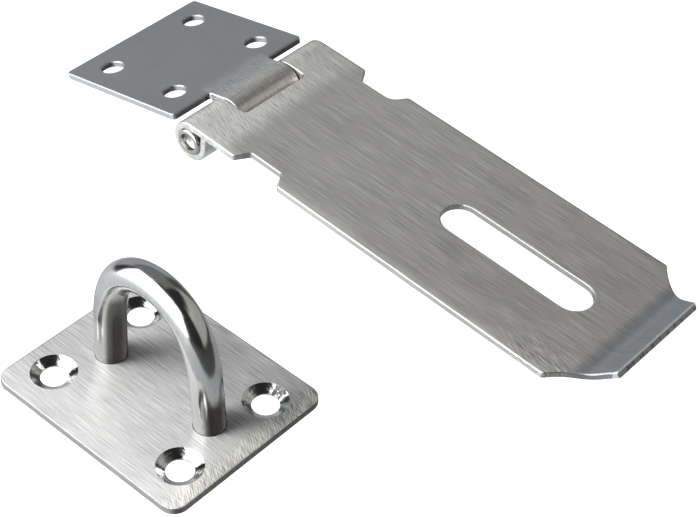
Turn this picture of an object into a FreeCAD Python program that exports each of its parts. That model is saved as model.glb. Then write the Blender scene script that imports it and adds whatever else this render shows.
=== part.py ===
import FreeCAD, Part
import math
import os

import Sketcher
from FreeCAD import Placement, Rotation, Vector

# Safety hasp and its staple, lying open on a bench: leaf, swinging strap and pin, and the staple beside them.
# The origin is the middle of the staple plate's underside. +X runs along the strap towards its lip, +Z is up.

# Driving dimensions in millimetres and degrees
SIZES = [
    # Sheet and hinge
    ("sheet_thickness", 1.3, "leaf, strap and staple plate"),
    ("edge_round", 0.3, "rolled-over rim of every stamped edge, on the outer face"),
    ("burr_round", 0.12, "rim of the same edges on the inner face"),
    ("pin_diameter", 5.4, "hinge pin"),
    ("pin_clearance", 0.05, "radial play of the pin in the knuckles"),
    ("pin_proud", 0.5, "pin beyond the strap at each end"),
    ("pin_end_round", 0.45, "rounding of the pin's rims"),
    ("pin_recess_diameter", 3.7, "drilled recess in each end of the pin"),
    ("pin_recess_depth", 1.1, "straight part of that recess"),
    ("pin_recess_cone", 0.7, "drill point at the bottom of that recess"),
    ("curl_end_gap", 0.15, "gap between a curl's free end and its own sheet"),
    # Strap
    ("strap_width", 36.3, "across the strap"),
    ("cutout_clearance", 0.4, "strap behind the leaf's knuckle"),
    ("knuckle_side_gap", 0.25, "play beside the leaf's knuckle"),
    ("cutout_corner_radius", 1.0, "inner corners behind the leaf's knuckle"),
    ("notch_start", 11.1, "pin axis to the first corner of the side notches"),
    ("notch_length", 10.9, "side notch, measured at the strap's edge"),
    ("notch_depth", 3.0, "side notch"),
    ("notch_slant", 1.75, "run of the notch's sloping ends"),
    ("notch_round", 0.8, "corners of both notches, but for two on the far one"),
    ("notch_far_inner_round", 2.8, "inner corner of the far notch on the lip's side"),
    ("notch_far_outer_round", 1.3, "outer corner of the far notch on the lip's side"),
    ("slot_length", 32.5, "slot"),
    ("slot_width", 7.4, "slot"),
    ("slot_to_bend", 7.3, "end of the slot to the lip's bend"),
    ("corner_to_bend", 3.75, "start of the concave corners to the lip's bend"),
    ("corner_radius", 16.0, "concave corners"),
    ("corner_start_round", 0.9, "where the strap's sides meet the concave corners"),
    ("lip_width", 22.9, "end of the strap"),
    ("lip_corner_round", 0.5, "corners at the end of the lip"),
    ("bend_start", 86.2, "pin axis to the lip's bend"),
    ("bend_radius", 5.5, "inside of the lip's bend"),
    ("bend_angle", 36.75, "lip above the strap"),
    ("lip_length", 3.4, "flat part of the lip"),
    # Leaf
    ("leaf_width", 34.9, "across the leaf"),
    ("leaf_length", 35.1, "pin axis to the leaf's far edge"),
    ("leaf_knuckle_width", 15.8, "middle knuckle"),
    ("leaf_shoulder_clearance", 0.2, "leaf's shoulders beyond the strap's knuckles"),
    ("leaf_corner_radius", 0.9, "outer corners of the leaf"),
    ("shoulder_corner_radius", 0.6, "inner corners beside the leaf's knuckle"),
    ("leaf_hole_diameter", 4.4, "screw holes in the leaf"),
    ("leaf_hole_chamfer", 0.2, "rim of those holes"),
    ("leaf_hole_far_inset", 6.6, "leaf's far edge to the far holes"),
    ("leaf_hole_hinge_inset", 6.35, "leaf's shoulders to the holes near the hinge"),
    ("leaf_hole_side_inset", 6.4, "leaf's sides to the holes"),
    # Staple
    ("plate_length", 42.0, "staple plate along X"),
    ("plate_width", 34.0, "staple plate along Y"),
    ("plate_corner_radius", 2.8, "staple plate"),
    ("screw_hole_diameter", 4.7, "screw holes in the staple plate"),
    ("countersink_diameter", 7.9, "rim of their countersinks"),
    ("countersink_depth", 1.05, "height of the countersink's cone"),
    ("screw_end_inset", 6.35, "plate's ends to the screws"),
    ("screw_side_inset", 7.4, "plate's sides to the screws"),
    ("rod_diameter", 5.45, "rod of the loop"),
    ("rod_hole_clearance", 0.06, "radial play of the rod in the plate"),
    ("loop_foot_span", 22.9, "between the legs' axes, at the plate"),
    ("loop_height", 23.1, "plate to the rod's axis at the crown"),
    ("foot_bend_radius", 12.0, "slight bend where a leg leaves the plate"),
    ("lean_angle", 3.4, "inward lean of the legs"),
    ("shoulder_radius", 22.0, "large bend above the legs"),
    ("shoulder_angle", 24.0, "lean of the rod where the crown starts"),
    ("loop_offset_x", 0.3, "loop off the plate's middle"),
    ("loop_offset_y", -0.2, "loop off the plate's middle"),
    # Layout
    ("hinge_place_x", -38.9, "pin axis from the staple plate's middle"),
    ("hinge_place_y", 63.15, "strap's centre line from the staple plate's middle"),
]

# Sizes that follow from the driving ones
KNUCKLE_INNER = "(Sizes.pin_diameter / 2 + Sizes.pin_clearance)"
KNUCKLE_OUTER = f"({KNUCKLE_INNER} + Sizes.sheet_thickness)"
CURL_END = f"({KNUCKLE_INNER} - Sizes.curl_end_gap)"
CUTOUT_END = f"({KNUCKLE_OUTER} + Sizes.cutout_clearance)"
CUTOUT_HALF = "(Sizes.leaf_knuckle_width / 2 + Sizes.knuckle_side_gap)"
CORNER_START = "(Sizes.bend_start - Sizes.corner_to_bend)"
SLOT_END = "(Sizes.bend_start - Sizes.slot_to_bend)"
LEAF_SHOULDER = f"({KNUCKLE_OUTER} + Sizes.leaf_shoulder_clearance)"
BEND_OUTER = "(Sizes.bend_radius + Sizes.sheet_thickness)"
BEND_CENTRE = f"({KNUCKLE_OUTER} + Sizes.bend_radius)"
LIP_END = (
    "(Sizes.bend_start + Sizes.bend_radius * sin(Sizes.bend_angle)"
    " + Sizes.lip_length * cos(Sizes.bend_angle))"
)
STRAP_REACH = f"({LIP_END} + Sizes.sheet_thickness)"
ROD_HOLE = "(Sizes.rod_diameter / 2 + Sizes.rod_hole_clearance)"

# The strap lies on its knuckles and on the outside of its bend, the leaf on its knuckle and its far edge
STRAP_TILT = (
    f"(asin(({KNUCKLE_OUTER} - {BEND_OUTER}) / sqrt(Sizes.bend_start ^ 2 + {BEND_CENTRE} ^ 2))"
    f" + atan({BEND_CENTRE} / Sizes.bend_start))"
)
LEAF_REST_X = "(Sizes.leaf_length - Sizes.burr_round)"
LEAF_REST_Z = f"({KNUCKLE_INNER} + Sizes.burr_round)"
LEAF_TILT = (
    f"(asin(({KNUCKLE_OUTER} - Sizes.burr_round) / sqrt({LEAF_REST_X} ^ 2 + {LEAF_REST_Z} ^ 2))"
    f" + atan({LEAF_REST_Z} / {LEAF_REST_X}))"
)

# How a sketch numbers its own axes, and the points of an edge
X_AXIS, Y_AXIS = -1, -2
ORIGIN = X_AXIS
START, END, CENTRE = range(1, 4)

SAME_SPOT = 1e-6
PARALLEL = 0.999
SLANTED = 0.5
CORNER_SINE = 0.05
FOUR_SIDES = [(-1, -1), (1, -1), (1, 1), (-1, 1)]


def make_sheet(document):
    """The spreadsheet that holds every driving dimension."""
    sheet = document.addObject("Spreadsheet::Sheet", "Sizes")
    for row, (alias, size, note) in enumerate(SIZES, start=1):
        sheet.set(f"A{row}", alias)
        sheet.set(f"B{row}", str(size))
        sheet.set(f"C{row}", note)
        sheet.setAlias(f"B{row}", alias)
    document.recompute()
    return sheet


def number(sheet, expression):
    """What an expression on the sheet comes to."""
    return float(sheet.evalExpression(str(expression)))


class Drawing:
    """A sketch on one of a body's own planes, whose sizes follow the sheet."""

    def __init__(self, body, sheet, plane, name, lift=None):
        self.sheet = sheet
        self.sketch = body.newObject("Sketcher::SketchObject", name)
        origin_plane = next(item for item in body.Origin.OriginFeatures if item.Role == plane)
        self.sketch.AttachmentSupport = (origin_plane, [""])
        self.sketch.MapMode = "FlatFace"
        if lift is not None:
            self.sketch.setExpression("AttachmentOffset.Base.z", lift)

    def line(self, start, end):
        """A straight edge, with the ends that its neighbours join."""
        index = self.sketch.addGeometry(Part.LineSegment(Vector(*start), Vector(*end)), False)
        return index, (index, START), (index, END)

    def arc(self, centre, radius, first, last):
        """An arc from one angle to another, in degrees; it runs clockwise where the second is smaller."""
        circle = Part.Circle(Vector(*centre), Vector(0, 0, 1), radius)
        low, high = sorted((math.radians(first), math.radians(last)))
        index = self.sketch.addGeometry(Part.ArcOfCircle(circle, low, high), False)
        if last < first:
            return index, (index, END), (index, START)
        return index, (index, START), (index, END)

    def join(self, kind, before, after):
        """Ties the end of one edge to the start of the next."""
        self.sketch.addConstraint(Sketcher.Constraint(kind, *before[2], *after[1]))

    def keep(self, kind, *references):
        """A constraint that has no size."""
        self.sketch.addConstraint(Sketcher.Constraint(kind, *references))

    def size(self, kind, references, expression):
        """A constraint whose size is an expression on the sheet."""
        amount = number(self.sheet, expression)
        if kind == "Angle":
            amount = math.radians(amount)
        index = self.sketch.addConstraint(Sketcher.Constraint(kind, *references, amount))
        self.sketch.setExpression(f"Constraints[{index}]", expression)

    def place(self, point, x, y):
        """Holds a point at a place that is given by two expressions."""
        for kind, expression, axis in (("DistanceX", x, Y_AXIS), ("DistanceY", y, X_AXIS)):
            amount = number(self.sheet, expression)
            if abs(amount) < SAME_SPOT:
                self.keep("PointOnObject", *point, axis)
            elif amount > 0:
                self.size(kind, (ORIGIN, START, *point), expression)
            else:
                self.size(kind, (*point, ORIGIN, START), f"-({expression})")

    def polygon(self, corners):
        """A closed outline through corners given as pairs of expressions."""
        spots = [(number(self.sheet, x), number(self.sheet, y), 0) for x, y in corners]
        edges = [self.line(spot, after) for spot, after in zip(spots, spots[1:] + spots[:1])]
        for edge, after in zip(edges, edges[1:] + edges[:1]):
            self.join("Coincident", edge, after)
        for edge, (x, y) in zip(edges, corners):
            self.place(edge[1], x, y)
        return edges

    def circle(self, x, y, diameter):
        """A full circle."""
        spot = Vector(number(self.sheet, x), number(self.sheet, y), 0)
        round_edge = Part.Circle(spot, Vector(0, 0, 1), number(self.sheet, diameter) / 2)
        index = self.sketch.addGeometry(round_edge, False)
        self.place((index, CENTRE), x, y)
        self.size("Diameter", (index,), diameter)

    def slot(self, first_x, last_x, width):
        """A slot with round ends along the sketch's X axis, between two centres."""
        half = number(self.sheet, width) / 2
        left = number(self.sheet, first_x)
        right = number(self.sheet, last_x)
        lower = self.line((left, -half, 0), (right, -half, 0))
        nose = self.arc((right, 0, 0), half, -90, 90)
        upper = self.line((right, half, 0), (left, half, 0))
        tail = self.arc((left, 0, 0), half, 90, 270)
        for before, after in ((lower, nose), (nose, upper), (upper, tail), (tail, lower)):
            self.join("Tangent", before, after)
        self.keep("Equal", nose[0], tail[0])
        self.place((tail[0], CENTRE), first_x, "0")
        self.place((nose[0], CENTRE), last_x, "0")
        self.size("Radius", (nose[0],), f"({width}) / 2")


def make_body(document, name):
    """A sub-part, whose name is its node's name."""
    body = document.addObject("PartDesign::Body", name)
    body.Label = name
    return body


def pad_across(body, drawing, name, width):
    """Gives a side view its width, half to each side."""
    pad = body.newObject("PartDesign::Pad", name)
    pad.Profile = drawing.sketch
    pad.SideType = "Symmetric"
    pad.setExpression("Length", width)
    body.Document.recompute()
    return pad


def cut_through(body, drawing, name):
    """Cuts an outline through the whole body, both ways, and makes sure that it cut something."""
    before = body.Shape.Volume
    pocket = body.newObject("PartDesign::Pocket", name)
    pocket.Profile = drawing.sketch
    pocket.SideType = "Symmetric"
    pocket.Type = "ThroughAll"
    body.Document.recompute()
    if body.Shape.Volume >= before:
        raise RuntimeError(f"{name} cuts nothing")
    return pocket


def middle(edge):
    """The point halfway along an edge."""
    return edge.valueAt((edge.FirstParameter + edge.LastParameter) / 2)


def middle_direction(edge):
    """The direction of an edge at its middle."""
    return edge.tangentAt((edge.FirstParameter + edge.LastParameter) / 2)


def corner_edges(shape, wanted):
    """Names of the edges that pass a test and where two faces meet at an angle."""
    names = []
    for index, edge in enumerate(shape.Edges, start=1):
        faces = shape.ancestorsOfType(edge, Part.Face)
        if len(faces) != 2 or not wanted(edge):
            continue
        spot = middle(edge)
        normals = [face.normalAt(*face.Surface.parameter(spot)) for face in faces]
        if normals[0].cross(normals[1]).Length > CORNER_SINE:
            names.append(f"Edge{index}")
    return names


def round_edges(body, name, radius, wanted):
    """Rounds the edges of the body that pass a test."""
    base = body.Tip
    fillet = body.newObject("PartDesign::Fillet", name)
    fillet.Base = (base, corner_edges(base.Shape, wanted))
    fillet.setExpression("Radius", radius)
    body.Document.recompute()
    return fillet


def through_sheet(thickness):
    """A test for the short straight edges that run through the flat sheet."""
    return lambda edge: abs(edge.Length - thickness) < SAME_SPOT and abs(middle_direction(edge).z) > PARALLEL


def curl_edges(drawing, side):
    """A knuckle from the side: inner turn, free end, outer turn. side is 1 where the sheet leaves to +X."""
    inner = number(drawing.sheet, KNUCKLE_INNER)
    outer = number(drawing.sheet, KNUCKLE_OUTER)
    end = number(drawing.sheet, CURL_END)
    free_angle = 360 if side > 0 else -180
    inner_turn = drawing.arc((0, 0, 0), inner, 90, free_angle)
    inner_end = drawing.line((side * inner, 0, 0), (side * inner, end, 0))
    end_face = drawing.line((side * inner, end, 0), (side * outer, end, 0))
    outer_end = drawing.line((side * outer, end, 0), (side * outer, 0, 0))
    outer_turn = drawing.arc((0, 0, 0), outer, free_angle, 90)
    drawing.join("Tangent", inner_turn, inner_end)
    drawing.join("Coincident", inner_end, end_face)
    drawing.join("Coincident", end_face, outer_end)
    drawing.join("Tangent", outer_end, outer_turn)
    for turn, radius in ((inner_turn, KNUCKLE_INNER), (outer_turn, KNUCKLE_OUTER)):
        drawing.keep("Coincident", turn[0], CENTRE, ORIGIN, START)
        drawing.size("Radius", (turn[0],), radius)
    for edge in (inner_end, outer_end):
        drawing.keep("Vertical", edge[0])
    drawing.keep("Horizontal", end_face[0])
    drawing.size("DistanceY", (ORIGIN, START, *end_face[1]), CURL_END)
    return inner_turn, outer_turn


def strap_side_view(body, sheet):
    """The strap from the side: flat sheet, lip bent up, and knuckle curled under."""
    drawing = Drawing(body, sheet, "XZ_Plane", "strap_side_view")
    inner = number(sheet, KNUCKLE_INNER)
    outer = number(sheet, KNUCKLE_OUTER)
    bend_start = number(sheet, "Sizes.bend_start")
    bend_inner = number(sheet, "Sizes.bend_radius")
    bend_outer = number(sheet, BEND_OUTER)
    bend_angle = number(sheet, "Sizes.bend_angle")
    lip_length = number(sheet, "Sizes.lip_length")
    centre = Vector(bend_start, outer + bend_inner, 0)
    turn = math.radians(bend_angle)
    outward = Vector(math.sin(turn), -math.cos(turn), 0)
    along = Vector(math.cos(turn), math.sin(turn), 0) * lip_length
    top_bend_end = centre + outward * bend_inner
    under_bend_end = centre + outward * bend_outer

    top = drawing.line((0, outer, 0), (bend_start, outer, 0))
    top_bend = drawing.arc(centre, bend_inner, -90, bend_angle - 90)
    top_lip = drawing.line(top_bend_end, top_bend_end + along)
    lip_end = drawing.line(top_bend_end + along, under_bend_end + along)
    under_lip = drawing.line(under_bend_end + along, under_bend_end)
    under_bend = drawing.arc(centre, bend_outer, bend_angle - 90, -90)
    under = drawing.line((bend_start, inner, 0), (0, inner, 0))
    inner_turn, outer_turn = curl_edges(drawing, 1)

    for before, after in ((top, top_bend), (top_bend, top_lip), (under_lip, under_bend), (under_bend, under)):
        drawing.join("Tangent", before, after)
    drawing.join("Perpendicular", top_lip, lip_end)
    drawing.join("Perpendicular", lip_end, under_lip)
    drawing.join("Tangent", under, inner_turn)
    drawing.join("Tangent", outer_turn, top)
    for edge in (top, under):
        drawing.keep("Horizontal", edge[0])
    drawing.keep("Coincident", under_bend[0], CENTRE, top_bend[0], CENTRE)
    drawing.size("DistanceX", (ORIGIN, START, top_bend[0], CENTRE), "Sizes.bend_start")
    drawing.size("Radius", (top_bend[0],), "Sizes.bend_radius")
    drawing.size("Angle", (top_lip[0],), "Sizes.bend_angle")
    drawing.size("Distance", (top_lip[0],), "Sizes.lip_length")
    return drawing


def strap_corner(drawing, side):
    """One concave corner at the strap's end. Its arc runs on past the lip, so that it cuts the whole edge."""
    half = f"({side} * Sizes.strap_width / 2)"
    lip_half = f"({side} * Sizes.lip_width / 2)"
    start = Vector(number(drawing.sheet, CORNER_START), number(drawing.sheet, half), 0)
    lip = Vector(number(drawing.sheet, LIP_END), number(drawing.sheet, lip_half), 0)
    reach = number(drawing.sheet, STRAP_REACH)
    radius = number(drawing.sheet, "Sizes.corner_radius")
    chord = lip - start
    normal = Vector(-chord.y, chord.x, 0).normalize() * side
    centre = (start + lip) / 2 + normal * math.sqrt(radius ** 2 - (chord.Length / 2) ** 2)
    stop = Vector(reach, centre.y - side * math.sqrt(radius ** 2 - (reach - centre.x) ** 2), 0)
    angles = [math.degrees(math.atan2(spot.y - centre.y, spot.x - centre.x)) % 360 for spot in (start, stop)]
    hollow = drawing.arc(centre, radius, *angles)
    outside = drawing.line(stop, (reach, start.y, 0))
    back = drawing.line((reach, start.y, 0), start)
    for before, after in ((hollow, outside), (outside, back), (back, hollow)):
        drawing.join("Coincident", before, after)
    drawing.keep("Vertical", outside[0])
    drawing.size("Radius", (hollow[0],), "Sizes.corner_radius")
    drawing.place(hollow[1], CORNER_START, half)
    drawing.place(back[1], STRAP_REACH, half)
    on_lip = drawing.sketch.addGeometry(Part.Point(lip), True)
    drawing.keep("PointOnObject", on_lip, START, hollow[0])
    drawing.place((on_lip, START), LIP_END, lip_half)


def strap_notch(drawing, side):
    """One notch with sloping ends in the strap's side."""
    edge = f"({side} * Sizes.strap_width / 2)"
    floor = f"({side} * (Sizes.strap_width / 2 - Sizes.notch_depth))"
    start = "Sizes.notch_start"
    stop = "(Sizes.notch_start + Sizes.notch_length)"
    drawing.polygon([
        (start, edge),
        (f"({start} + Sizes.notch_slant)", floor),
        (f"({stop} - Sizes.notch_slant)", floor),
        (stop, edge),
    ])


def notch_corner(sheet, eased, depths):
    """A test for the far notch's corners towards the lip, or all others, at some depths: inside or not."""
    upright = through_sheet(number(sheet, "Sizes.sheet_thickness"))
    length = number(sheet, "Sizes.notch_length")
    middle_x = number(sheet, "Sizes.notch_start + Sizes.notch_length / 2")
    middle_y = number(sheet, "Sizes.strap_width / 2 - Sizes.notch_depth / 2")

    def test(edge):
        spot = middle(edge)
        far_and_beyond = spot.x > middle_x and spot.y > 0
        inside = abs(spot.y) < middle_y
        on_notch = upright(edge) and abs(spot.x - middle_x) < length
        return on_notch and far_and_beyond == eased and inside in depths

    return test


def make_strap(document, sheet):
    """The swinging strap: one folded sheet with two knuckles."""
    body = make_body(document, "hasp_strap")
    pad_across(body, strap_side_view(body, sheet), "strap_sheet", "Sizes.strap_width")

    knuckle_gap = Drawing(body, sheet, "XY_Plane", "knuckle_gap_outline")
    behind = f"(-2 * {KNUCKLE_OUTER})"
    knuckle_gap.polygon([
        (behind, f"(-{CUTOUT_HALF})"),
        (CUTOUT_END, f"(-{CUTOUT_HALF})"),
        (CUTOUT_END, CUTOUT_HALF),
        (behind, CUTOUT_HALF),
    ])
    cut_through(body, knuckle_gap, "knuckle_gap")

    slot = Drawing(body, sheet, "XY_Plane", "slot_outline")
    last_centre = f"({SLOT_END} - Sizes.slot_width / 2)"
    first_centre = f"({SLOT_END} - Sizes.slot_length + Sizes.slot_width / 2)"
    slot.slot(first_centre, last_centre, "Sizes.slot_width")
    cut_through(body, slot, "slot")

    for side, word in ((-1, "near"), (1, "far")):
        notch = Drawing(body, sheet, "XY_Plane", f"{word}_notch_outline")
        strap_notch(notch, side)
        cut_through(body, notch, f"{word}_notch")
        corner = Drawing(body, sheet, "XY_Plane", f"{word}_corner_outline")
        strap_corner(corner, side)
        cut_through(body, corner, f"{word}_corner")

    thickness = number(sheet, "Sizes.sheet_thickness")
    cutout_end = number(sheet, CUTOUT_END)
    lip_end = number(sheet, LIP_END)
    upright = through_sheet(thickness)
    round_edges(body, "knuckle_gap_corners", "Sizes.cutout_corner_radius",
                lambda edge: upright(edge) and middle(edge).x < cutout_end + thickness)
    for name, radius, eased, depths in (
        ("notch_corners", "Sizes.notch_round", False, (True, False)),
        ("notch_far_inner_corner", "Sizes.notch_far_inner_round", True, (True,)),
        ("notch_far_outer_corner", "Sizes.notch_far_outer_round", True, (False,)),
    ):
        round_edges(body, name, radius, notch_corner(sheet, eased, depths))
    corner_start = number(sheet, CORNER_START)
    round_edges(body, "concave_corner_starts", "Sizes.corner_start_round",
                lambda edge: upright(edge) and abs(middle(edge).x - corner_start) < thickness)
    round_edges(body, "lip_corners", "Sizes.lip_corner_round",
                lambda edge: middle(edge).x > lip_end and abs(middle_direction(edge).y) < SLANTED)
    round_sheet_rims(body, sheet)
    place_on_pin(body, STRAP_TILT)
    return body


def on_outer_face(sheet):
    """A test for edges on the face that is outside at the knuckle, which the flat sheet has on top."""
    inner = number(sheet, KNUCKLE_INNER)
    outer = number(sheet, KNUCKLE_OUTER)
    centre = Vector(number(sheet, "Sizes.bend_start"), 0, number(sheet, BEND_CENTRE))
    bend_middle = (number(sheet, "Sizes.bend_radius") + number(sheet, BEND_OUTER)) / 2
    turn = math.radians(number(sheet, "Sizes.bend_angle"))
    outward = Vector(math.sin(turn), 0, -math.cos(turn))
    along = Vector(math.cos(turn), 0, math.sin(turn))

    def test(edge):
        spot = middle(edge)
        beyond = Vector(spot.x, 0, spot.z) - centre
        if beyond.x <= 0 and spot.z > inner - SAME_SPOT:
            return spot.z > (inner + outer) / 2
        if beyond.x <= 0:
            return math.hypot(spot.x, spot.z) > (inner + outer) / 2
        if beyond.dot(along) > 0:
            return beyond.dot(outward) < bend_middle
        return beyond.Length < bend_middle

    return test


def round_sheet_rims(body, sheet):
    """Rolls over the long rims on the sheet's outer face, and breaks those on its inner face."""
    thickness = number(sheet, "Sizes.sheet_thickness")
    inner = number(sheet, KNUCKLE_INNER)
    outer_face = on_outer_face(sheet)

    def long_rim(edge):
        return edge.Length > thickness + number(sheet, "Sizes.edge_round")

    def in_flat_sheet(edge):
        return middle(edge).z > inner - SAME_SPOT

    round_edges(body, f"{body.Name}_outer_rims", "Sizes.edge_round",
                lambda edge: long_rim(edge) and in_flat_sheet(edge) and outer_face(edge))
    round_edges(body, f"{body.Name}_inner_rims", "Sizes.burr_round",
                lambda edge: long_rim(edge) and in_flat_sheet(edge) and not outer_face(edge))


def make_leaf(document, sheet):
    """The fixed leaf: one sheet with the middle knuckle."""
    body = make_body(document, "hinge_leaf")
    drawing = Drawing(body, sheet, "XZ_Plane", "leaf_side_view")
    inner = number(sheet, KNUCKLE_INNER)
    outer = number(sheet, KNUCKLE_OUTER)
    length = number(sheet, "Sizes.leaf_length")
    top = drawing.line((0, outer, 0), (-length, outer, 0))
    far_face = drawing.line((-length, outer, 0), (-length, inner, 0))
    under = drawing.line((-length, inner, 0), (0, inner, 0))
    inner_turn, outer_turn = curl_edges(drawing, -1)
    drawing.join("Coincident", top, far_face)
    drawing.join("Coincident", far_face, under)
    drawing.join("Tangent", under, inner_turn)
    drawing.join("Tangent", outer_turn, top)
    for edge in (top, under):
        drawing.keep("Horizontal", edge[0])
    drawing.keep("Vertical", far_face[0])
    drawing.size("DistanceX", (*far_face[1], ORIGIN, START), "Sizes.leaf_length")
    pad_across(body, drawing, "leaf_sheet", "Sizes.leaf_width")

    knuckle_half = "(Sizes.leaf_knuckle_width / 2)"
    for side, word in ((-1, "near"), (1, "far")):
        shoulder = Drawing(body, sheet, "XY_Plane", f"{word}_shoulder_outline")
        shoulder.polygon([
            (f"(-{LEAF_SHOULDER})", f"({side} * {knuckle_half})"),
            (f"(2 * {KNUCKLE_OUTER})", f"({side} * {knuckle_half})"),
            (f"(2 * {KNUCKLE_OUTER})", f"({side} * Sizes.leaf_width)"),
            (f"(-{LEAF_SHOULDER})", f"({side} * Sizes.leaf_width)"),
        ])
        cut_through(body, shoulder, f"{word}_shoulder")

    holes = Drawing(body, sheet, "XY_Plane", "leaf_hole_outline")
    far_row = "(Sizes.leaf_hole_far_inset - Sizes.leaf_length)"
    hinge_row = f"(-{LEAF_SHOULDER} - Sizes.leaf_hole_hinge_inset)"
    for side_x, side_y in FOUR_SIDES:
        across = f"({side_y} * (Sizes.leaf_width / 2 - Sizes.leaf_hole_side_inset))"
        holes.circle(far_row if side_x < 0 else hinge_row, across, "Sizes.leaf_hole_diameter")
    cut_through(body, holes, "leaf_holes")

    thickness = number(sheet, "Sizes.sheet_thickness")
    knuckle_edge = number(sheet, knuckle_half)
    hole_radius = number(sheet, "Sizes.leaf_hole_diameter") / 2
    upright = through_sheet(thickness)
    round_edges(body, "leaf_inner_corners", "Sizes.shoulder_corner_radius",
                lambda edge: upright(edge) and abs(abs(middle(edge).y) - knuckle_edge) < SAME_SPOT)
    round_edges(body, "leaf_outer_corners", "Sizes.leaf_corner_radius",
                lambda edge: upright(edge) and abs(middle(edge).y) > knuckle_edge + thickness)
    drilled = body.Tip
    chamfer = body.newObject("PartDesign::Chamfer", "leaf_hole_rims")
    chamfer.Base = (drilled, corner_edges(drilled.Shape, lambda edge: is_rim(edge, hole_radius)))
    chamfer.setExpression("Size", "Sizes.leaf_hole_chamfer")
    document.recompute()
    round_sheet_rims(body, sheet)
    place_on_pin(body, f"(-{LEAF_TILT})")
    return body


def is_rim(edge, radius):
    """Whether an edge is a full circle of that radius around an upright axis."""
    curve = edge.Curve
    return (
        isinstance(curve, Part.Circle)
        and abs(curve.Radius - radius) < SAME_SPOT
        and abs(curve.Axis.z) > PARALLEL
        and edge.isClosed()
    )


def place_on_pin(body, tilt):
    """Puts a sub-part on the pin's axis, tilted as it lies."""
    body.Placement = Placement(Vector(0, 0, 0), Rotation(Vector(0, 1, 0), 1))
    body.setExpression("Placement.Base.x", "Sizes.hinge_place_x")
    body.setExpression("Placement.Base.y", "Sizes.hinge_place_y")
    body.setExpression("Placement.Base.z", KNUCKLE_OUTER)
    body.setExpression("Placement.Rotation.Angle", tilt)


def make_pin(document, sheet):
    """The hinge pin: a turned rod with a drilled recess in each end."""
    body = make_body(document, "hinge_pin")
    drawing = Drawing(body, sheet, "XY_Plane", "pin_half_section")
    end = "(Sizes.strap_width / 2 + Sizes.pin_proud)"
    floor = f"({end} - Sizes.pin_recess_depth)"
    point = f"({floor} - Sizes.pin_recess_cone)"
    recess = "(Sizes.pin_recess_diameter / 2)"
    radius = "(Sizes.pin_diameter / 2)"
    half = [("0", point), (recess, floor), (recess, end), (radius, end)]
    mirrored = [(x, f"(-{y})") for x, y in reversed(half)]
    drawing.polygon(half + mirrored)
    turned = body.newObject("PartDesign::Revolution", "turned_pin")
    turned.Profile = drawing.sketch
    turned.ReferenceAxis = (drawing.sketch, ["V_Axis"])
    turned.Angle = 360
    document.recompute()
    pin_radius = number(sheet, radius)
    round_edges(body, "pin_rims", "Sizes.pin_end_round", lambda edge: is_pin_rim(edge, pin_radius))
    body.setExpression("Placement.Base.x", "Sizes.hinge_place_x")
    body.setExpression("Placement.Base.y", "Sizes.hinge_place_y")
    body.setExpression("Placement.Base.z", KNUCKLE_OUTER)
    return body


def is_pin_rim(edge, radius):
    """Whether an edge is one of the pin's outer rims."""
    return isinstance(edge.Curve, Part.Circle) and abs(edge.Curve.Radius - radius) < SAME_SPOT


def make_staple_plate(document, sheet):
    """The staple's plate, with countersunk screw holes and two holes for the rod."""
    body = make_body(document, "staple_plate")
    outline = Drawing(body, sheet, "XY_Plane", "plate_outline")
    outline.polygon([
        (f"({side_x} * Sizes.plate_length / 2)", f"({side_y} * Sizes.plate_width / 2)")
        for side_x, side_y in FOUR_SIDES
    ])
    plate = body.newObject("PartDesign::Pad", "plate")
    plate.Profile = outline.sketch
    plate.setExpression("Length", "Sizes.sheet_thickness")
    document.recompute()

    rod_holes = Drawing(body, sheet, "XY_Plane", "rod_hole_outline")
    for side in (-1, 1):
        foot = f"(Sizes.loop_offset_x + {side} * Sizes.loop_foot_span / 2)"
        rod_holes.circle(foot, "Sizes.loop_offset_y", f"(2 * {ROD_HOLE})")
    cut_through(body, rod_holes, "rod_holes")

    thickness = number(sheet, "Sizes.sheet_thickness")
    round_edges(body, "plate_corners", "Sizes.plate_corner_radius", through_sheet(thickness))

    screws = Drawing(body, sheet, "XY_Plane", "screw_outline", "Sizes.sheet_thickness")
    for side_x, side_y in FOUR_SIDES:
        along = f"({side_x} * (Sizes.plate_length / 2 - Sizes.screw_end_inset))"
        across = f"({side_y} * (Sizes.plate_width / 2 - Sizes.screw_side_inset))"
        screws.circle(along, across, "Sizes.screw_hole_diameter")
    document.recompute()
    before = body.Shape.Volume
    holes = body.newObject("PartDesign::Hole", "screw_holes")
    holes.Profile = screws.sketch
    document.recompute()
    holes.DepthType = "ThroughAll"
    holes.HoleCutType = "Countersink"
    holes.HoleCutCustomValues = True
    holes.setExpression("Diameter", "Sizes.screw_hole_diameter")
    holes.setExpression("HoleCutDiameter", "Sizes.countersink_diameter")
    spread = "(Sizes.countersink_diameter - Sizes.screw_hole_diameter) / 2"
    holes.setExpression("HoleCutCountersinkAngle", f"2 * atan({spread} / Sizes.countersink_depth)")
    document.recompute()
    if body.Shape.Volume >= before:
        raise RuntimeError("the screw holes cut nothing")

    half_length = number(sheet, "Sizes.plate_length") / 2
    half_width = number(sheet, "Sizes.plate_width") / 2
    corner = number(sheet, "Sizes.plate_corner_radius")

    def outer_rim(edge, height):
        spot = middle(edge)
        outside = abs(spot.x) > half_length - corner or abs(spot.y) > half_width - corner
        closed = edge.isClosed()
        return outside and not closed and abs(spot.z - height) < SAME_SPOT

    round_edges(body, "plate_top_rim", "Sizes.edge_round", lambda edge: outer_rim(edge, thickness))
    round_edges(body, "plate_under_rim", "Sizes.burr_round", lambda edge: outer_rim(edge, 0))
    return body


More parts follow.
